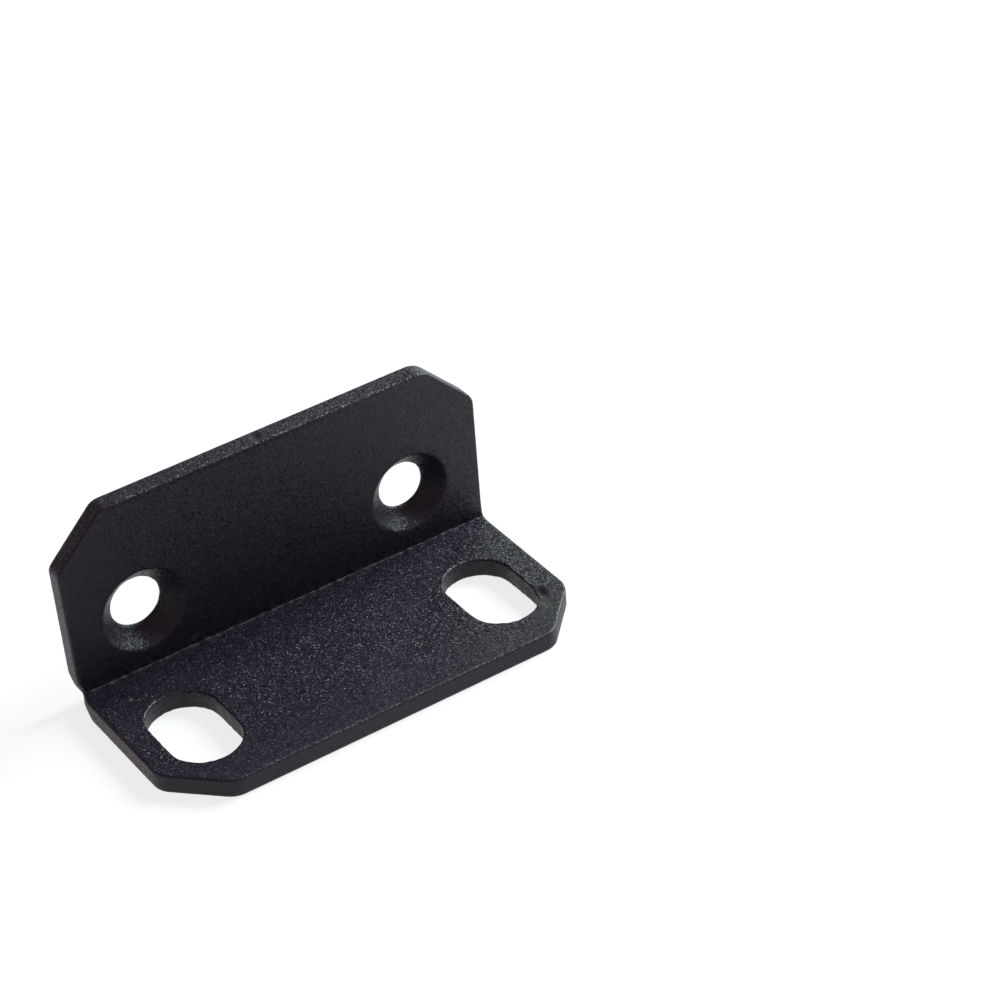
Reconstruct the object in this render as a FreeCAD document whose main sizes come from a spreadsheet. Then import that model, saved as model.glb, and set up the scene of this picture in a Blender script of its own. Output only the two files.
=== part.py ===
import FreeCAD, Part
import math
import os

import Sketcher

# Rack mount ear bracket: one flat blank of sheet steel, folded once into an L
#
# X runs along the fold, which is along the rack's height. The upright leg's outer face looks along +Y,
# the flange reaches towards -Y, and the fold's outer side is towards +Y and -Z. The origin is the middle
# of the footprint, on the surface that the flange lies on.

doc = FreeCAD.newDocument("rack_mount_ear")

# Driving dimensions in millimetres, and one angle in degrees
SIZES = {
    "ear_length": 44.0,
    "leg_height": 20.5,
    "flange_depth": 21.2,
    "sheet_thickness": 2.0,
    "inner_fold_radius": 0.4,
    "corner_cut": 5.0,
    "corner_rounding": 2.0,
    "edge_rounding": 0.3,
    "slot_width": 6.9,
    "slot_length": 10.5,
    "slot_spacing": 31.75,
    "slot_set_back": 12.35,
    "screw_hole_diameter": 5.2,
    "screw_hole_spacing": 28.7,
    "screw_hole_height": 8.15,
    "countersink_diameter": 8.6,
    "countersink_angle": 90.0,
    "countersink_rounding": 0.5,
    "hole_back_easing": 0.1,
    "fold_draw_in": 0.75,
    "fold_draw_depth": 1.1,
}

sheet = doc.addObject("Spreadsheet::Sheet", "Sizes")
for row, (alias, value) in enumerate(SIZES.items(), start=1):
    sheet.set(f"A{row}", alias)
    sheet.set(f"B{row}", str(value))
    sheet.setAlias(f"B{row}", alias)
doc.recompute()


def size(alias):
    """The value that the sheet holds under this alias."""
    return float(sheet.get(alias))


def point(x, y):
    return FreeCAD.Vector(x, y, 0)


def origin_feature(body, role):
    """One of the body's own origin planes or axes, found by its role."""
    return next(item for item in body.Origin.OriginFeatures if item.Role == role)


def sketch_on(body, role, name):
    """A sketch on one of the body's origin planes."""
    sketch = body.newObject("Sketcher::SketchObject", name)
    sketch.AttachmentSupport = [(origin_feature(body, role), "")]
    sketch.MapMode = "FlatFace"
    return sketch


def constrain(sketch, kind, *operands):
    """Add a constraint, and return its index."""
    return sketch.addConstraint(Sketcher.Constraint(kind, *operands))


def drive(sketch, name, expression, kind, *operands):
    """Add a named dimension, and bind it to the sheet. The last operand is its starting value."""
    index = constrain(sketch, kind, *operands)
    sketch.renameConstraint(index, name)
    sketch.setExpression(f"Constraints.{name}", expression)


def line(sketch, start, end):
    return sketch.addGeometry(Part.LineSegment(start, end), False)


def fold_arc(sketch, centre, radius):
    """A quarter circle about the fold's centre, from pointing down to pointing along the sketch's X."""
    circle = Part.Circle(centre, FreeCAD.Vector(0, 0, 1), radius)
    return sketch.addGeometry(Part.ArcOfCircle(circle, 1.5 * math.pi, 2 * math.pi), False)


def fold_section(body):
    """The folded sheet's section, in the YZ plane: a flange, a tight fold and an upright leg."""
    back = size("flange_depth") / 2
    front = -back
    top = size("leg_height")
    thick = size("sheet_thickness")
    inner = size("inner_fold_radius")
    outer = inner + thick
    centre = point(back - outer, outer)
    sketch = sketch_on(body, "YZ_Plane", "fold_section")
    under = line(sketch, point(front, 0), point(centre.x, 0))
    outside = fold_arc(sketch, centre, outer)
    back_face = line(sketch, point(back, outer), point(back, top))
    top_edge = line(sketch, point(back, top), point(back - thick, top))
    inner_face = line(sketch, point(back - thick, top), point(back - thick, outer))
    inside = fold_arc(sketch, centre, inner)
    upper_face = line(sketch, point(centre.x, thick), point(front, thick))
    front_edge = line(sketch, point(front, thick), point(front, 0))
    for smooth in ((under, 2, outside, 1), (outside, 2, back_face, 1), (inner_face, 2, inside, 2),
                   (inside, 1, upper_face, 1)):
        constrain(sketch, "Tangent", *smooth)
    for before, after in ((back_face, top_edge), (top_edge, inner_face), (upper_face, front_edge),
                          (front_edge, under)):
        constrain(sketch, "Coincident", before, 2, after, 1)
    for level in (under, top_edge, upper_face):
        constrain(sketch, "Horizontal", level)
    for upright in (back_face, inner_face, front_edge):
        constrain(sketch, "Vertical", upright)
    constrain(sketch, "Coincident", outside, 3, inside, 3)
    constrain(sketch, "PointOnObject", under, 1, -1)
    drive(sketch, "half_depth", "Sizes.flange_depth / 2", "DistanceX", -1, 1, back_face, 2, back)
    drive(sketch, "depth", "Sizes.flange_depth", "DistanceX", under, 1, back_face, 2, back - front)
    drive(sketch, "height", "Sizes.leg_height", "DistanceY", -1, 1, back_face, 2, top)
    drive(sketch, "wall", "Sizes.sheet_thickness", "DistanceX", top_edge, 2, top_edge, 1, thick)
    drive(sketch, "inner_radius", "Sizes.inner_fold_radius", "Radius", inside, inner)
    return sketch


def slot_outline(body):
    """One slot in the flange, on the XY plane, long across the fold and round at both ends."""
    radius = size("slot_width") / 2
    reach = size("slot_length") / 2 - radius
    side = -size("slot_spacing") / 2
    middle = size("flange_depth") / 2 - size("slot_set_back")
    inward = point(side, middle + reach)
    outward = point(side, middle - reach)
    half_width = point(radius, 0)
    normal = FreeCAD.Vector(0, 0, 1)
    sketch = sketch_on(body, "XY_Plane", "slot_outline")
    inward_end = sketch.addGeometry(Part.ArcOfCircle(Part.Circle(inward, normal, radius), 0, math.pi), False)
    outward_end = sketch.addGeometry(
        Part.ArcOfCircle(Part.Circle(outward, normal, radius), math.pi, 2 * math.pi), False)
    left = line(sketch, inward - half_width, outward - half_width)
    right = line(sketch, outward + half_width, inward + half_width)
    for before, after in ((inward_end, left), (left, outward_end), (outward_end, right), (right, inward_end)):
        constrain(sketch, "Tangent", before, 2, after, 1)
    for upright in (left, right):
        constrain(sketch, "Vertical", upright)
    drive(sketch, "end_radius", "Sizes.slot_width / 2", "Radius", inward_end, radius)
    drive(sketch, "straight", "Sizes.slot_length - Sizes.slot_width",
          "DistanceY", outward_end, 3, inward_end, 3, 2 * reach)
    drive(sketch, "off_middle", "Sizes.slot_spacing / 2", "DistanceX", inward_end, 3, -1, 1, -side)
    drive(sketch, "inward_centre",
          "Sizes.flange_depth / 2 - Sizes.slot_set_back + (Sizes.slot_length - Sizes.slot_width) / 2",
          "DistanceY", -1, 1, inward_end, 3, inward.y)
    return sketch


def screw_hole_outline(body):
    """One screw hole, on the leg's inner face, where its countersink opens."""
    radius = size("screw_hole_diameter") / 2
    centre = point(-size("screw_hole_spacing") / 2, size("screw_hole_height"))
    sketch = sketch_on(body, "XZ_Plane", "screw_hole_outline")
    sketch.setExpression("AttachmentOffset.Base.z", "Sizes.sheet_thickness - Sizes.flange_depth / 2")
    hole = sketch.addGeometry(Part.Circle(centre, FreeCAD.Vector(0, 0, 1), radius), False)
    drive(sketch, "hole_radius", "Sizes.screw_hole_diameter / 2", "Radius", hole, radius)
    drive(sketch, "off_middle", "Sizes.screw_hole_spacing / 2", "DistanceX", hole, 3, -1, 1, -centre.x)
    drive(sketch, "hole_height", "Sizes.screw_hole_height", "DistanceY", -1, 1, hole, 3, centre.y)
    return sketch


def fold_end_outline(body):
    """The wedge that folding draws away from the sheet's outer side at one end of the fold.

    The sketch's plane holds the fold's centre line and halves the angle between leg and flange. Its X runs
    along the ear and its Y points out of the fold. The long side is the drawn-in face: it leaves the end of
    the ear at fold_draw_depth under the outer surface, reaches fold_draw_in along the ear at that surface,
    and is drawn as far again past each.
    """
    along = size("fold_draw_in")
    deep = size("fold_draw_depth")
    outer = size("inner_fold_radius") + size("sheet_thickness")
    end = size("ear_length") / 2
    sketch = sketch_on(body, "XZ_Plane", "fold_end_outline")
    sketch.AttachmentOffset = FreeCAD.Placement(
        FreeCAD.Vector(0, outer, outer - size("flange_depth") / 2),
        FreeCAD.Rotation(FreeCAD.Vector(1, 0, 0), -135))
    sketch.setExpression("AttachmentOffset.Base.y", "Sizes.inner_fold_radius + Sizes.sheet_thickness")
    sketch.setExpression("AttachmentOffset.Base.z",
                         "Sizes.inner_fold_radius + Sizes.sheet_thickness - Sizes.flange_depth / 2")
    inside = point(end + along, outer - 2 * deep)
    outside = point(end - 2 * along, outer + deep)
    square = point(inside.x, outside.y)
    drawn_in = line(sketch, inside, outside)
    outer_side = line(sketch, outside, square)
    end_side = line(sketch, square, inside)
    for before, after in ((drawn_in, outer_side), (outer_side, end_side), (end_side, drawn_in)):
        constrain(sketch, "Coincident", before, 2, after, 1)
    constrain(sketch, "Horizontal", outer_side)
    constrain(sketch, "Vertical", end_side)
    drive(sketch, "past_end", "Sizes.ear_length / 2 + Sizes.fold_draw_in",
          "DistanceX", -1, 1, drawn_in, 1, inside.x)
    drive(sketch, "along_ear", "3 * Sizes.fold_draw_in", "DistanceX", drawn_in, 2, drawn_in, 1, 3 * along)
    drive(sketch, "out_of_fold", "3 * Sizes.fold_draw_depth", "DistanceY", drawn_in, 1, drawn_in, 2, 3 * deep)
    drive(sketch, "past_outside", "Sizes.inner_fold_radius + Sizes.sheet_thickness + Sizes.fold_draw_depth",
          "DistanceY", -1, 1, drawn_in, 2, outside.y)
    return sketch


def finish_cut(body, feature, volume):
    """Make a cut the body's tip, stop if it took nothing away, and return the volume that is left."""
    doc.recompute()
    left = feature.Shape.Volume
    if not left < volume - 1e-3:
        raise RuntimeError(f"{feature.Name} cut nothing")
    body.Tip = feature
    return left


def cut_through(body, name, outline, volume):
    pocket = body.newObject("PartDesign::Pocket", name)
    pocket.Profile = outline
    pocket.Type = "ThroughAll"
    pocket.SideType = "Symmetric"
    return pocket, finish_cut(body, pocket, volume)


def repeat_along_ear(body, name, feature, spacing, volume):
    """Cut the same shape once more, one spacing further along the ear."""
    pattern = body.newObject("PartDesign::LinearPattern", name)
    pattern.Originals = [feature]
    pattern.Direction = (origin_feature(body, "X_Axis"), [""])
    pattern.Occurrences = 2
    pattern.Length = size(spacing)
    pattern.setExpression("Length", f"Sizes.{spacing}")
    return finish_cut(body, pattern, volume)


def dress(body, kind, name, dimension, alias, wanted, volume):
    """Chamfer or round every edge of the body for which wanted(shape, edge) is true."""
    base = body.Tip
    edges = [f"Edge{i}" for i, edge in enumerate(base.Shape.Edges, start=1) if wanted(base.Shape, edge)]
    feature = body.newObject(f"PartDesign::{kind}", name)
    feature.Base = (base, edges)
    setattr(feature, dimension, size(alias))
    feature.setExpression(dimension, f"Sizes.{alias}")
    return finish_cut(body, feature, volume)


def is_corner(shape, edge):
    """Is this a straight edge through the sheet, at a corner of the blank's outline?"""
    if not isinstance(edge.Curve, Part.Line):
        return False
    thick = size("sheet_thickness")
    through_leg = abs(edge.Curve.Direction.y) > 0.99 and edge.CenterOfMass.z > 1.5 * thick
    through_flange = abs(edge.Curve.Direction.z) > 0.99
    return abs(edge.Length - thick) < 1e-4 and (through_leg or through_flange)


def is_hole_rim(edge, depth):
    """Is this a screw hole's rim, at this depth under the leg's outer face?"""
    if not isinstance(edge.Curve, Part.Circle) or abs(edge.Curve.Axis.y) < 0.99:
        return False
    centre = edge.Curve.Center
    off_hole = abs(abs(centre.x) - size("screw_hole_spacing") / 2) + abs(centre.z - size("screw_hole_height"))
    return off_hole < 1e-3 and abs(size("flange_depth") / 2 - depth - centre.y) < 1e-3


def is_open_edge(shape, edge):
    """Do the two faces that meet here form an angle, anywhere but in a screw hole?"""
    faces = shape.ancestorsOfType(edge, Part.Face)
    if len(faces) != 2 or any(isinstance(face.Surface, Part.Cone) for face in faces):
        return False
    middle = edge.valueAt((edge.FirstParameter + edge.LastParameter) / 2)
    normals = [face.normalAt(*face.Surface.parameter(middle)) for face in faces]
    return normals[0].getAngle(normals[1]) > math.radians(10)


def build_ear():
    body = doc.addObject("PartDesign::Body", "ear_bracket")
    body.Label = "ear_bracket"
    body.Placement = FreeCAD.Placement()

    folded = body.newObject("PartDesign::Pad", "folded_blank")
    folded.Profile = fold_section(body)
    folded.SideType = "Symmetric"
    folded.Length = size("ear_length")
    folded.setExpression("Length", "Sizes.ear_length")
    doc.recompute()
    body.Tip = folded
    volume = folded.Shape.Volume

    volume = dress(body, "Chamfer", "cut_corners", "Size", "corner_cut", is_corner, volume)
    volume = dress(body, "Fillet", "rounded_corners", "Radius", "corner_rounding", is_corner, volume)

    slot, volume = cut_through(body, "slot", slot_outline(body), volume)
    volume = repeat_along_ear(body, "slots", slot, "slot_spacing", volume)

    outline = screw_hole_outline(body)
    doc.recompute()
    hole = body.newObject("PartDesign::Hole", "screw_hole")
    hole.Profile = outline
    doc.recompute()
    hole.ThreadType = "None"
    hole.DepthType = "ThroughAll"
    hole.Diameter = size("screw_hole_diameter")
    hole.HoleCutType = "Countersink"
    hole.HoleCutCustomValues = True
    hole.HoleCutDiameter = size("countersink_diameter")
    hole.HoleCutCountersinkAngle = size("countersink_angle")
    hole.setExpression("Diameter", "Sizes.screw_hole_diameter")
    hole.setExpression("HoleCutDiameter", "Sizes.countersink_diameter")
    hole.setExpression("HoleCutCountersinkAngle", "Sizes.countersink_angle")
    volume = finish_cut(body, hole, volume)
    volume = repeat_along_ear(body, "screw_holes", hole, "screw_hole_spacing", volume)

    fold_end, volume = cut_through(body, "fold_end", fold_end_outline(body), volume)
    fold_ends = body.newObject("PartDesign::Mirrored", "fold_ends")
    fold_ends.Originals = [fold_end]
    fold_ends.MirrorPlane = (origin_feature(body, "YZ_Plane"), [""])
    volume = finish_cut(body, fold_ends, volume)

    volume = dress(body, "Fillet", "soft_countersinks", "Radius", "countersink_rounding",
                   lambda shape, edge: is_hole_rim(edge, size("sheet_thickness")), volume)
    volume = dress(body, "Chamfer", "eased_hole_backs", "Size", "hole_back_easing",
                   lambda shape, edge: is_hole_rim(edge, 0), volume)
    volume = dress(body, "Fillet", "soft_edges", "Radius", "edge_rounding", is_open_edge, volume)
    return body


ear = build_ear()
doc.recompute()

for item in doc.Objects:
    if "Invalid" in item.State or "Error" in item.State:
        raise RuntimeError(f"{item.Name} is {item.State}")
if ear.Shape.isNull() or not ear.Shape.isValid():
    raise RuntimeError(f"{ear.Label} has no valid shape")

os.makedirs("parts", exist_ok=True)
ear.Shape.exportStep(f"parts/{ear.Label}.step")
print(f"{ear.Label}: {len(ear.Shape.Solids)} solid, {ear.Shape.Volume:.1f} cubic mm")
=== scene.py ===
import math

import bmesh
import bpy
import numpy as np
from mathutils import Matrix, Vector, kdtree, noise
from mathutils.geometry import delaunay_2d_cdt


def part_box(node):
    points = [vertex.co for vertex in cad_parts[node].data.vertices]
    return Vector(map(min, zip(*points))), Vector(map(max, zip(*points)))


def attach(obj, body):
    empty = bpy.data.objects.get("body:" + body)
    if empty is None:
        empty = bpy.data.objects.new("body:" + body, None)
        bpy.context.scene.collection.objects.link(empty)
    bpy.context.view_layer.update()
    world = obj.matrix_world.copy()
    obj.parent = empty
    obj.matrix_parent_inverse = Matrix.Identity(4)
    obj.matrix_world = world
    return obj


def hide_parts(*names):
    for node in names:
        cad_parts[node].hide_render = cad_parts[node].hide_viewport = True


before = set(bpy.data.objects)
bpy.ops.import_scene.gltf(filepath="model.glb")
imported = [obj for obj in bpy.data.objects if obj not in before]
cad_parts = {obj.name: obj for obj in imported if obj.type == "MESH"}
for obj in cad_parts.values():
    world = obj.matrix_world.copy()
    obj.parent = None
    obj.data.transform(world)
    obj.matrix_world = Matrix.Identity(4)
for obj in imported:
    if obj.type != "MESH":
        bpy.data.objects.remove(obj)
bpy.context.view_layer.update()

# Lengths are in millimetres and are turned into metres where a mesh, lamp or camera is made.
MM = 0.001


# ---- Sizes of the ear ----

# From the frame: x runs along the fold, the leg stands at the back, the flange reaches forward.
low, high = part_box("ear_bracket")
END = high.x / MM
FRONT = low.y / MM
BACK = high.y / MM
TOP = high.z / MM
THICK = 2.0
INNER_FOLD = 0.2
OUTER_FOLD = INNER_FOLD + THICK

# The blank is the sheet before it is folded. A place in it is (x, s, rise): s runs across the
# fold, from the flange's free edge to the leg's upper edge, and rise is the height over the
# sheet's outer side.
FOLD_START = BACK - OUTER_FOLD
FOLD_RUN = 3.0

# Corners of the outline, where the cuts differ a little from corner to corner
CORNER_CUT = 5.05
FRONT_LEFT_ROUNDINGS = (2.3, 2.3)
FRONT_RIGHT_ROUNDINGS = (2.25, 2.8)
TOP_RIGHT_ROUNDINGS = (1.8, 2.4)
TOP_LEFT_ROUNDINGS = (1.6, 1.0)

# The outline is slightly out of square: how far the two ends of each side reach beyond the
# nominal outline
TOP_SIDE_BEYOND = {"left": -0.07, "right": 0.18}
FRONT_SIDE_BEYOND = {"left": -0.02, "right": 0.10}
LEFT_SIDE_BEYOND = {"leg": 0.03, "flange": -0.04}
RIGHT_SIDE_BEYOND = {"leg": 0.04, "flange": -0.09}

# Openings, which sit a little to the left of the middle. LAND is the straight wall behind a
# countersink, CONE_LEAN is in degrees, and RIM_ROUNDING is at the cone's wide rim.
SLOTS = [{"x": -16.00, "set_back": 12.27, "width": 6.93, "length": 10.66},
         {"x": 15.75, "set_back": 12.48, "width": 6.84, "length": 10.61}]
HOLES = [{"x": -14.44, "height": 8.15, "radius": 2.56},
         {"x": 14.19, "height": 8.23, "radius": 2.40}]
LAND = 0.3
CONE_LEAN = 45
RIM_ROUNDING = 0.5

# The cut edges are rounded more on the sheet's outer side than on its inner side.
OUTER_ROUNDING = 0.3
INNER_ROUNDING = 0.22
SLOT_INNER_ROUNDING = 0.15
BACK_EASING = 0.1

# Folding draws the outer side in at the fold's ends. It pinches the inner corner at the left
# end, and lets it swell a little at the right end.
DRAW_IN = 1.3
DRAW_IN_START = 0.3
DRAW_IN_RUN = 1.6
DRAW_IN_REACH = 4.0
LEFT_PINCH = 0.45
RIGHT_SWELL = 0.06
CORNER_WIDTH = 0.65
CORNER_REACH = 1.6

# Small marks in the coat: how deep each is pressed in, and its tone. The coat is smooth and dull
# where its tone is -1, smooth, pale and shiny where it is 1, and paler still in the specks. The
# first two are where a hook held the ear at the right slot, and the third is a nick in the leg's
# upper edge. The others are a scuff by the fold and two specks.
MARKS = [{"middle": (19.32, -4.95, 2.0), "half": (0.60, 0.98, 0.8), "depth": 0.27, "tone": -1.0},
         {"middle": (18.80, -6.50, 2.0), "half": (0.72, 1.00, 0.8), "depth": 0.05, "tone": 1.0},
         {"middle": (-0.60, 9.60, 20.5), "half": (0.52, 0.95, 0.8), "depth": 0.18, "tone": -1.0},
         {"middle": (-10.0, 8.60, 2.80), "half": (0.55, 0.30, 0.30), "depth": 0.0, "tone": 0.6},
         {"middle": (-18.66, 5.19, 2.0), "half": (0.22, 0.22, 0.5), "depth": 0.0, "tone": 2.0},
         {"middle": (-11.39, 2.26, 2.0), "half": (0.22, 0.22, 0.5), "depth": 0.0, "tone": 1.6}]

# A mark's hollow narrows downward by this power, and its tone fades out over its outer part.
MARK_HOLLOWNESS = 1.5
MARK_CRISPNESS = 2

# The coat is lumpy along cut edges, most of all round the openings, and in the fold, where it is
# duller too. The lumps are shares of LUMP, and the dullness is a tone.
LUMP = 0.05
LUMP_SPACING = 0.55
OUTLINE_LUMPS = 0.2
SLOT_LUMPS = 1.0
HOLE_LUMPS = 0.6
FOLD_LUMPS = 2.2
FOLD_DULLNESS = 0.35
IN_FOLD_REACH = 0.5

# Along the inner rim of the leg's upper edge the coat has built up into a low lip.
LIP = 0.11
LIP_REACH = 0.30

# Sizes of the mesh's triangles, and how clear of a rim they start, as a share of their size
FINE = 0.22
COARSE = 0.32
HOLE_STEP = 0.8 * FINE
RIM_CLEARANCE = 0.55
SAME_POINT = 1e-6

# Rows of points round a rounding, up a cut edge's wall and up a countersink's cone, and the least
# number of pieces round a corner of an outline
ROUNDING_ROWS = 5
WALL_ROWS = 8
CONE_ROWS = 10
LEAST_CORNER_PIECES = 4


# ---- Looks ----

# The coat's grain is small facets, each tilted at random. GRAIN is how strongly, by how level
# the surface is: 0 is upright and 1 is level. The waves under it are shallow and wider.
FACETS_PER_MM = 10.0
FACET_MIDDLE = (0.5, 0.5, 0.5)
GRAIN = {0.0: 0.43, 0.15: 0.45, 0.9: 0.45, 0.99: 0.64}
WAVES_PER_MM = 3.0
WAVE_HEIGHT = 0.02

# The mottle varies the coat's colour and gloss over about two millimetres.
MOTTLE_PER_MM = 0.5
MOTTLE_DETAIL = 4.0
COAT_TINTS = {0.3: (0.0070, 0.0040, 0.0106), 0.7: (0.0092, 0.0056, 0.0138)}
PALE_TINT = (0.041, 0.042, 0.040, 1)
LEAST_ROUGHNESS = 0.38
MOST_ROUGHNESS = 0.48
ROUGHNESS_BY_TONE = -0.35
COAT_IOR = 1.4

# The grain grows weaker, and the coat rougher, from this y to the flange's free edge.
FREE_EDGE_FROM = -4.0
GRAIN_LOST_AT_FREE_EDGE = 0.35
ROUGHNESS_AT_FREE_EDGE = 0.07

# The floor is white, and a share of it is glow where the camera or a reflection sees it. The rest
# of it takes the ear's shadow.
FLOOR_REACH = 6000
FLOOR_COLOUR = (0.9, 0.9, 0.9, 1)
FLOOR_ROUGHNESS = 0.9
FLOOR_GLOW_SHARE = 0.8
FLOOR_GLOW_SEEN = (1.0, 1.0, 1.0, 1)
FLOOR_GLOW_REFLECTED = (0.95, 0.885, 0.905, 1)

# Light from all round, and two square lamps turned towards the origin
WORLD_COLOUR = (1.0, 0.80, 0.86, 1)
WORLD_STRENGTH = 0.32
LAMPS = [{"name": "key", "place": (532, 0, 373), "power": 9.4, "colour": (0.82, 1.0, 0.98)},
         {"name": "low_back", "place": (444, 444, 168), "power": 0.55, "colour": (0.8, 1.0, 0.8)}]
LAMP_WIDTH = 300


# ---- The blank ----

def flange_place(y):
    """s in the blank for a point of the flange."""
    return y - FOLD_START


def leg_place(z):
    """s in the blank for a point of the leg."""
    return FOLD_RUN + z - OUTER_FOLD


def unit(vector):
    """The plane vector of length one in the same direction."""
    return vector / np.hypot(*vector)


def rounded_loop(corners, radii, step):
    """Points round a convex polygon with rounded corners, and the direction out of it at each.

    The corners run counter-clockwise.
    """
    corners = np.array(corners, float)
    before = np.roll(corners, 1, axis=0)
    arriving = [unit(corner - last) for corner, last in zip(corners, before)]
    leaving = arriving[1:] + arriving[:1]
    turns = [math.acos(np.clip(a @ b, -1, 1)) for a, b in zip(arriving, leaving)]
    tangents = [radius * math.tan(turn / 2) for radius, turn in zip(radii, turns)]
    points = []
    outward = []
    for i, radius in enumerate(radii):
        following = (i + 1) % len(corners)
        right = np.array([arriving[i][1], -arriving[i][0]])
        centre = corners[i] - arriving[i] * tangents[i] - right * radius
        pieces = max(LEAST_CORNER_PIECES, math.ceil(radius * turns[i] / step))
        heading = math.atan2(right[1], right[0])
        for angle in np.linspace(heading, heading + turns[i], pieces + 1):
            direction = np.array([math.cos(angle), math.sin(angle)])
            outward.append(direction)
            points.append(centre + direction * radius)
        run = np.hypot(*(corners[following] - corners[i])) - tangents[i] - tangents[following]
        if run < step / 2:
            points.pop()
            outward.pop()
            continue
        pieces = round(run / step)
        for along in np.linspace(0, run, pieces + 1)[1:-1]:
            points.append(corners[i] + leaving[i] * (tangents[i] + along))
            outward.append(np.array([leaving[i][1], -leaving[i][0]]))
    return np.array(points), np.array(outward)


def blank_outline(step):
    """The blank's outline, and the direction into the sheet at each point."""
    front = flange_place(FRONT)
    top = leg_place(TOP)
    cut = CORNER_CUT
    front_left = front - FRONT_SIDE_BEYOND["left"]
    front_right = front - FRONT_SIDE_BEYOND["right"]
    top_left = top + TOP_SIDE_BEYOND["left"]
    top_right = top + TOP_SIDE_BEYOND["right"]
    corners = [(-END + cut, front_left),
               (END - cut, front_right),
               (END + RIGHT_SIDE_BEYOND["flange"], front_right + cut),
               (END + RIGHT_SIDE_BEYOND["leg"], top_right - cut),
               (END - cut, top_right),
               (-END + cut, top_left),
               (-END - LEFT_SIDE_BEYOND["leg"], top_left - cut),
               (-END - LEFT_SIDE_BEYOND["flange"], front_left + cut)]
    first, last = FRONT_LEFT_ROUNDINGS
    radii = (first, *FRONT_RIGHT_ROUNDINGS, *TOP_RIGHT_ROUNDINGS, *TOP_LEFT_ROUNDINGS, last)
    points, outward = rounded_loop(corners, radii, step)
    return points, -outward


def opening_outline(x, s, width, length, step):
    """An opening with round ends, and the direction into the sheet at each point."""
    w = width / 2
    h = length / 2
    corners = [(x - w, s - h), (x + w, s - h), (x + w, s + h), (x - w, s + h)]
    return rounded_loop(corners, [w] * len(corners), step)


def edge_profile(rounding_below, rounding_above):
    """(distance into the sheet, rise) up a cut edge, from the sheet's outer side to its inner."""
    quarter = np.radians(np.linspace(0, 90, ROUNDING_ROWS))
    below = [(rounding_below * (1 - math.sin(a)), rounding_below * (1 - math.cos(a)))
             for a in quarter]
    above = [(rounding_above * (1 - math.cos(a)), THICK - rounding_above * (1 - math.sin(a)))
             for a in quarter]
    wall = [(0, rise) for rise in np.linspace(below[-1][1], above[0][1], WALL_ROWS)[1:-1]]
    return below + wall + above


def countersink_profile():
    """(distance out from the hole's wall, rise) up a hole, from the leg's outer face.

    The cone leans by 45 degrees, so it widens by as much as it rises.
    """
    eased = 0.3 * BACK_EASING
    back = [(BACK_EASING, 0), (eased, eased), (0, BACK_EASING)]
    tangent = RIM_ROUNDING * math.tan(math.radians(CONE_LEAN) / 2)
    centre = THICK - LAND + tangent
    rim = [(centre - RIM_ROUNDING * math.sin(a), THICK - RIM_ROUNDING * (1 - math.cos(a)))
           for a in np.radians(np.linspace(CONE_LEAN, 0, ROUNDING_ROWS))]
    cone = [(rise - LAND, rise) for rise in np.linspace(LAND, rim[0][1], CONE_ROWS)[:-1]]
    return back + cone + rim


class Shell:
    """The sheet's surface: places in the blank, and the faces between them."""

    def __init__(self):
        self.places = np.zeros((0, 3))
        self.lumps = np.zeros(0)
        self.faces = []

    def add(self, plan, rise, lumps):
        """Add points at one rise, and return their numbers. lumps is their share of LUMP."""
        first = len(self.places)
        placed = np.column_stack([plan, np.full(len(plan), rise)])
        self.places = np.vstack([self.places, placed])
        self.lumps = np.append(self.lumps, np.full(len(plan), lumps))
        return np.arange(first, len(self.places))

    def add_edge(self, loop, into, profile, lumps):
        """Add the faces across the sheet along a loop, and return the lowest and highest row."""
        rows = [self.add(loop + into * inset, rise, lumps) for inset, rise in profile]
        for below, above in zip(rows, rows[1:]):
            quads = np.column_stack([below, np.roll(below, -1), np.roll(above, -1), above])
            self.faces += quads.tolist()
        return rows[0], rows[-1]

    def points_between(self, rim_plan, into, step):
        """Places in a triangular pattern that are inside the outline and clear of the rims."""
        tree = kdtree.KDTree(len(rim_plan))
        for number, (x, s) in enumerate(rim_plan):
            tree.insert((x, s, 0), number)
        tree.balance()
        lowest = rim_plan.min(axis=0)
        highest = rim_plan.max(axis=0)
        row_spacing = step * math.sqrt(0.75)
        between = []
        for row, s in enumerate(np.arange(lowest[1], highest[1], row_spacing)):
            for x in np.arange(lowest[0] + step / 2 * (row % 2), highest[0], step):
                rim_point, number, _ = tree.find((x, s, 0))
                offset = np.array([x - rim_point.x, s - rim_point.y])
                if offset @ into[number] > RIM_CLEARANCE * step:
                    between.append((x, s))
        return np.array(between)

    def add_side(self, rims, inward, rise, step):
        """Add one side of the sheet between its rims, in triangles of about one size.

        The first rim is the outline's and the others are the openings'. inward holds the
        direction into the sheet at each rim's points.
        """
        rim_numbers = np.concatenate(rims)
        rim_of = np.concatenate([np.full(len(rim), index) for index, rim in enumerate(rims)])
        between = self.points_between(self.places[rim_numbers, :2], np.vstack(inward), step)
        numbers = np.concatenate([rim_numbers, self.add(between, rise, 0.0)])
        edges = []
        first = 0
        for rim in rims:
            edges += [(first + i, first + (i + 1) % len(rim)) for i in range(len(rim))]
            first += len(rim)
        points = [Vector(place) for place in self.places[numbers, :2]]
        inside_outline = 1
        result = delaunay_2d_cdt(points, edges, [], inside_outline, SAME_POINT)
        _, _, faces, origins, _, _ = result
        for face in faces:
            corners = [origins[corner][0] for corner in face]
            touched = {rim_of[corner] if corner < len(rim_of) else 0 for corner in corners}
            crosses_opening = len(touched) == 1 and touched != {0}
            if not crosses_opening:
                self.faces.append([int(numbers[corner]) for corner in corners])


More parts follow.
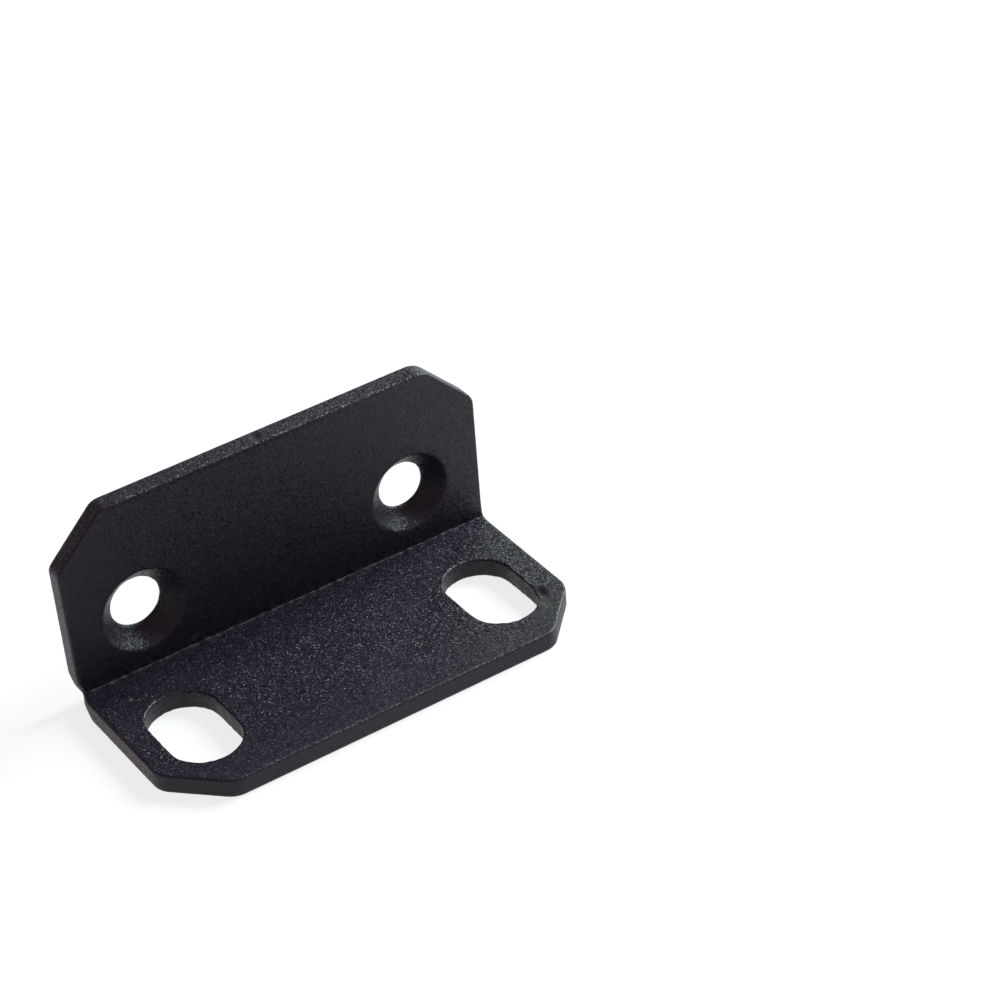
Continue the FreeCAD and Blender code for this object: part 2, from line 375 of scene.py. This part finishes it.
def ear_shell():
    """The whole sheet with its openings, in the blank."""
    shell = Shell()
    outline_profile = edge_profile(OUTER_ROUNDING, INNER_ROUNDING)
    slot_profile = edge_profile(OUTER_ROUNDING, SLOT_INNER_ROUNDING)
    loops = [(*blank_outline(FINE), outline_profile, OUTLINE_LUMPS)]
    for slot in SLOTS:
        s = flange_place(BACK - slot["set_back"])
        outline = opening_outline(slot["x"], s, slot["width"], slot["length"], FINE)
        loops.append((*outline, slot_profile, SLOT_LUMPS))
    for hole in HOLES:
        s = leg_place(hole["height"])
        width = 2 * hole["radius"]
        outline = opening_outline(hole["x"], s, width, width, HOLE_STEP)
        loops.append((*outline, countersink_profile(), HOLE_LUMPS))
    rims = [shell.add_edge(*loop) for loop in loops]
    inward = [into for loop, into, profile, lumps in loops]
    shell.add_side([outer for outer, inner in rims], inward, 0, COARSE)
    shell.add_side([inner for outer, inner in rims], inward, THICK, FINE)
    return shell


# ---- The folded ear ----

def fold(places):
    """Points in space of places in the blank."""
    x, s, rise = places.T
    turn = np.clip(s / FOLD_RUN, 0, 1) * math.pi / 2
    radius = OUTER_FOLD - rise
    y = FOLD_START + np.minimum(s, 0) + radius * np.sin(turn)
    z = OUTER_FOLD - radius * np.cos(turn) + np.maximum(s - FOLD_RUN, 0)
    return np.column_stack([x, y, z])


def strain_fold_ends(points):
    """Draw in the outer side at the fold's ends, and pinch or swell the inner corner there."""
    x, y, z = points.T
    out_y = y - FOLD_START
    out_z = OUTER_FOLD - z
    out_of_fold = (out_y + out_z) / math.sqrt(2)
    from_end = END - abs(x)
    part = np.clip((out_of_fold - DRAW_IN_START) / DRAW_IN_RUN, 0, 1)
    smooth_part = part ** 2 * (3 - 2 * part)
    drawn = DRAW_IN * smooth_part * np.clip(1 - from_end / DRAW_IN_REACH, 0, 1) ** 2
    from_corner = np.hypot(out_y - INNER_FOLD, out_z) / CORNER_WIDTH
    pinched = np.where(x < 0, LEFT_PINCH, -RIGHT_SWELL)
    pinched = pinched * np.exp(-from_corner ** 2) * np.clip(1 - from_end / CORNER_REACH, 0, 1)
    points[:, 0] -= np.sign(x) * (drawn + pinched)


def raise_lip(points):
    """Push the inner rim of the leg's upper edge forward into a low lip."""
    below = np.minimum(points[:, 2] - TOP, 0)
    away = np.hypot(points[:, 1] - (BACK - THICK), below)
    points[:, 1] -= LIP * np.exp(-(away / LIP_REACH) ** 2)


def press_marks(points):
    """Press the marks down into upward faces, and return the tone at each point."""
    tone = np.zeros(len(points))
    for mark in MARKS:
        offset = (points - mark["middle"]) / mark["half"]
        inside = np.clip(1 - (offset ** 2).sum(axis=1), 0, 1)
        points[:, 2] -= mark["depth"] * inside ** MARK_HOLLOWNESS
        tone += mark["tone"] * np.minimum(MARK_CRISPNESS * inside, 1)
    return tone


def in_fold(points):
    """How close points are to the middle of the fold, from 0 far from it to 1 there."""
    away = np.hypot(points[:, 1] - FOLD_START, points[:, 2] - OUTER_FOLD)
    return np.exp(-(away / IN_FOLD_REACH) ** 2)


def lump_edges(mesh, points, shares):
    """Move the points of cut edges in and out a little, as powder coat builds up there."""
    normals = np.zeros(len(points) * 3)
    mesh.vertex_normals.foreach_get("vector", normals)
    lumps = np.array([LUMP * noise.noise(Vector(point) / LUMP_SPACING) for point in points])
    moved = points + normals.reshape(-1, 3) * (shares * lumps)[:, None]
    mesh.vertices.foreach_set("co", (moved * MM).ravel())


def clean(mesh):
    """Drop the points that no face uses, and turn every face outward."""
    work = bmesh.new()
    work.from_mesh(mesh)
    loose = [vertex for vertex in work.verts if not vertex.link_faces]
    bmesh.ops.delete(work, geom=loose, context="VERTS")
    bmesh.ops.recalc_face_normals(work, faces=work.faces)
    work.to_mesh(mesh)
    work.free()
    mesh.shade_smooth()


def make_ear(material):
    """The coated sheet, which stands for the CAD part's one solid."""
    shell = ear_shell()
    points = fold(shell.places)
    strain_fold_ends(points)
    raise_lip(points)
    tone = press_marks(points)
    folded = in_fold(points)
    tone -= FOLD_DULLNESS * folded
    mesh = bpy.data.meshes.new("coated_ear")
    mesh.from_pydata(points * MM, [], shell.faces)
    lump_edges(mesh, points, shell.lumps + FOLD_LUMPS * folded)
    mesh.attributes.new("tone", "FLOAT", "POINT").data.foreach_set("value", tone)
    clean(mesh)
    mesh.materials.append(material)
    ear = bpy.data.objects.new("coated_ear", mesh)
    bpy.context.scene.collection.objects.link(ear)
    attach(ear, "root")
    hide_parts("ear_bracket")


# ---- Materials ----

def new_material(name):
    """A material with nodes, its node tree and its shader."""
    material = bpy.data.materials.new(name)
    material.use_nodes = True
    return material, material.node_tree, material.node_tree.nodes["Principled BSDF"]


def add_node(tree, kind, inputs, **settings):
    """Add a node. inputs holds, by name or number, values and the outputs to link from."""
    node = tree.nodes.new(kind)
    for name, value in settings.items():
        setattr(node, name, value)
    for key, value in inputs.items():
        if isinstance(value, bpy.types.NodeSocket):
            tree.links.new(value, node.inputs[key])
        else:
            node.inputs[key].default_value = value
    return node


def maths(tree, operation, *values, clamp=False):
    """The result of a Math node."""
    inputs = dict(enumerate(values))
    node = add_node(tree, "ShaderNodeMath", inputs, operation=operation, use_clamp=clamp)
    return node.outputs["Value"]


def vector_maths(tree, operation, *vectors):
    """The result of a Vector Math node."""
    inputs = dict(enumerate(vectors))
    node = add_node(tree, "ShaderNodeVectorMath", inputs, operation=operation)
    return node.outputs["Vector"]


def ramp(tree, factor, colours):
    """The colour at factor of a colour ramp. colours holds its colours by position."""
    node = add_node(tree, "ShaderNodeValToRGB", {"Fac": factor})
    stops = node.color_ramp.elements
    stops.remove(stops[1])
    for number, (position, colour) in enumerate(colours.items()):
        stop = stops[0] if number == 0 else stops.new(position)
        stop.position = position
        stop.color = (*colour, 1)
    return node.outputs["Color"]


def towards_free_edge(tree, in_mm):
    """How far forward on the flange a point is, up to 1 at the free edge."""
    apart = add_node(tree, "ShaderNodeSeparateXYZ", {0: in_mm})
    limits = {"From Min": FREE_EDGE_FROM, "From Max": FRONT, "Value": apart.outputs["Y"]}
    return add_node(tree, "ShaderNodeMapRange", limits).outputs["Result"]


def grain_strength(tree, normal, tone, forward):
    """How strong the grain is: by how level the face is, weaker in marks and far forward."""
    facing = add_node(tree, "ShaderNodeSeparateXYZ", {0: normal})
    level = maths(tree, "ABSOLUTE", facing.outputs["Z"])
    by_level = ramp(tree, level, {position: (grain,) * 3 for position, grain in GRAIN.items()})
    unworn = maths(tree, "SUBTRACT", 1.0, maths(tree, "ABSOLUTE", tone), clamp=True)
    kept_forward = maths(tree, "MULTIPLY_ADD", forward, -GRAIN_LOST_AT_FREE_EDGE, 1.0)
    kept = maths(tree, "MULTIPLY", unworn, kept_forward)
    return maths(tree, "MULTIPLY", by_level, kept)


def grain_normal(tree, in_mm, strength):
    """The surface's direction, with shallow waves and the facets of the grain."""
    waves = add_node(tree, "ShaderNodeTexNoise",
                     {"Vector": in_mm, "Scale": WAVES_PER_MM, "Detail": 0.0})
    bump = add_node(tree, "ShaderNodeBump",
                    {"Strength": 1.0, "Distance": WAVE_HEIGHT * MM, "Height": waves.outputs["Fac"]})
    facets = add_node(tree, "ShaderNodeTexVoronoi", {"Vector": in_mm, "Scale": FACETS_PER_MM})
    tilt = vector_maths(tree, "SUBTRACT", facets.outputs["Color"], FACET_MIDDLE)
    tilted = vector_maths(tree, "MULTIPLY_ADD", tilt, strength, bump.outputs["Normal"])
    return vector_maths(tree, "NORMALIZE", tilted)


def coat_colour(tree, mottle, tone):
    """The coat's colour: near-black with a violet cast, and paler in the pale marks."""
    tint = ramp(tree, mottle, COAT_TINTS)
    paleness = maths(tree, "MAXIMUM", tone, 0.0)
    mixed = add_node(tree, "ShaderNodeMix", {"Factor": paleness, "A": tint, "B": PALE_TINT},
                     data_type="RGBA", clamp_factor=False)
    return mixed.outputs["Result"]


def coat_roughness(tree, mottle, tone, forward):
    """The coat's roughness: it follows the mottle and the tone, and grows to the free edge."""
    limits = {"To Min": LEAST_ROUGHNESS, "To Max": MOST_ROUGHNESS, "Value": mottle}
    rough = add_node(tree, "ShaderNodeMapRange", limits).outputs["Result"]
    marked = maths(tree, "MULTIPLY_ADD", tone, ROUGHNESS_BY_TONE, rough, clamp=True)
    return maths(tree, "MULTIPLY_ADD", forward, ROUGHNESS_AT_FREE_EDGE, marked)


def powder_coat():
    """Near-black powder coat with a fine, lumpy grain."""
    material, tree, shader = new_material("textured_powder_coat")
    place = tree.nodes.new("ShaderNodeTexCoord").outputs
    in_mm = add_node(tree, "ShaderNodeVectorMath", {0: place["Object"], "Scale": 1 / MM},
                     operation="SCALE").outputs["Vector"]
    tone = add_node(tree, "ShaderNodeAttribute", {}, attribute_name="tone").outputs["Fac"]
    forward = towards_free_edge(tree, in_mm)
    mottle = add_node(tree, "ShaderNodeTexNoise",
                      {"Vector": in_mm, "Scale": MOTTLE_PER_MM, "Detail": MOTTLE_DETAIL})
    mottle = mottle.outputs["Fac"]
    strength = grain_strength(tree, place["Normal"], tone, forward)
    tree.links.new(grain_normal(tree, in_mm, strength), shader.inputs["Normal"])
    tree.links.new(coat_colour(tree, mottle, tone), shader.inputs["Base Color"])
    tree.links.new(coat_roughness(tree, mottle, tone, forward), shader.inputs["Roughness"])
    shader.inputs["IOR"].default_value = COAT_IOR
    return material


def white_floor():
    """White that also looks white in the picture, and nearly so in reflections.

    The part of it that isn't glow takes the ear's shadow.
    """
    material, tree, shader = new_material("white_floor")
    shader.inputs["Base Color"].default_value = FLOOR_COLOUR
    shader.inputs["Roughness"].default_value = FLOOR_ROUGHNESS
    ray = tree.nodes.new("ShaderNodeLightPath").outputs
    seen = maths(tree, "MAXIMUM", ray["Is Camera Ray"], ray["Is Glossy Ray"])
    seen = maths(tree, "MAXIMUM", seen, ray["Is Transmission Ray"])
    share = maths(tree, "MULTIPLY", seen, FLOOR_GLOW_SHARE)
    colours = {"Factor": ray["Is Camera Ray"], "A": FLOOR_GLOW_REFLECTED, "B": FLOOR_GLOW_SEEN}
    look = add_node(tree, "ShaderNodeMix", colours, data_type="RGBA")
    glow = add_node(tree, "ShaderNodeEmission", {"Color": look.outputs["Result"]})
    blend = add_node(tree, "ShaderNodeMixShader",
                     {"Fac": share, 1: shader.outputs["BSDF"], 2: glow.outputs["Emission"]})
    tree.links.new(blend.outputs["Shader"], tree.nodes["Material Output"].inputs["Surface"])
    return material


# ---- Floor, light and camera ----

def make_floor():
    """A plain pale floor with the ear's shadow on it."""
    reach = FLOOR_REACH * MM
    corners = [(-reach, -reach, 0), (reach, -reach, 0), (reach, reach, 0), (-reach, reach, 0)]
    mesh = bpy.data.meshes.new("floor")
    mesh.from_pydata(corners, [], [(0, 1, 2, 3)])
    mesh.materials.append(white_floor())
    floor = bpy.data.objects.new("floor", mesh)
    bpy.context.scene.collection.objects.link(floor)


def make_lamp(name, place, power, colour):
    """A square area lamp at place, turned towards the origin."""
    lamp = bpy.data.lights.new(name, "AREA")
    lamp.shape = "SQUARE"
    lamp.size = LAMP_WIDTH * MM
    lamp.energy = power
    lamp.color = colour
    box = bpy.data.objects.new(name, lamp)
    box.location = Vector(place) * MM
    box.rotation_euler = (-Vector(place)).to_track_quat("-Z", "Y").to_euler()
    bpy.context.scene.collection.objects.link(box)


def make_light():
    """An even surrounding light and two lamps."""
    world = bpy.data.worlds.new("studio")
    bpy.context.scene.world = world
    world.use_nodes = True
    background = world.node_tree.nodes["Background"]
    background.inputs["Color"].default_value = WORLD_COLOUR
    background.inputs["Strength"].default_value = WORLD_STRENGTH
    for lamp in LAMPS:
        make_lamp(**lamp)


def make_camera():
    """The photograph's camera: where it stood, which way it looked, and its lens."""
    place = Vector((-100.0, -193.0, 169.63))
    heading = math.radians(-32.546)
    downward = math.radians(36.303)
    roll = math.radians(-4.032)
    sensor = 36
    focal_share = 2.9867
    axis_right = 0.0440
    axis_down = 0.0565
    camera = bpy.data.cameras.new("camera")
    camera.sensor_width = sensor
    camera.lens = sensor * focal_share
    camera.shift_x = -axis_right
    camera.shift_y = axis_down
    viewer = bpy.data.objects.new("camera", camera)
    level_turn = Matrix.Rotation(heading, 4, "Z")
    tilt = Matrix.Rotation(math.pi / 2 - downward, 4, "X")
    turn = level_turn @ tilt @ Matrix.Rotation(roll, 4, "Z")
    viewer.matrix_world = Matrix.Translation(place * MM) @ turn
    bpy.context.scene.collection.objects.link(viewer)
    bpy.context.scene.camera = viewer


make_camera()
make_light()
make_floor()
make_ear(powder_coat())
bpy.context.scene.view_settings.view_transform = "Standard"
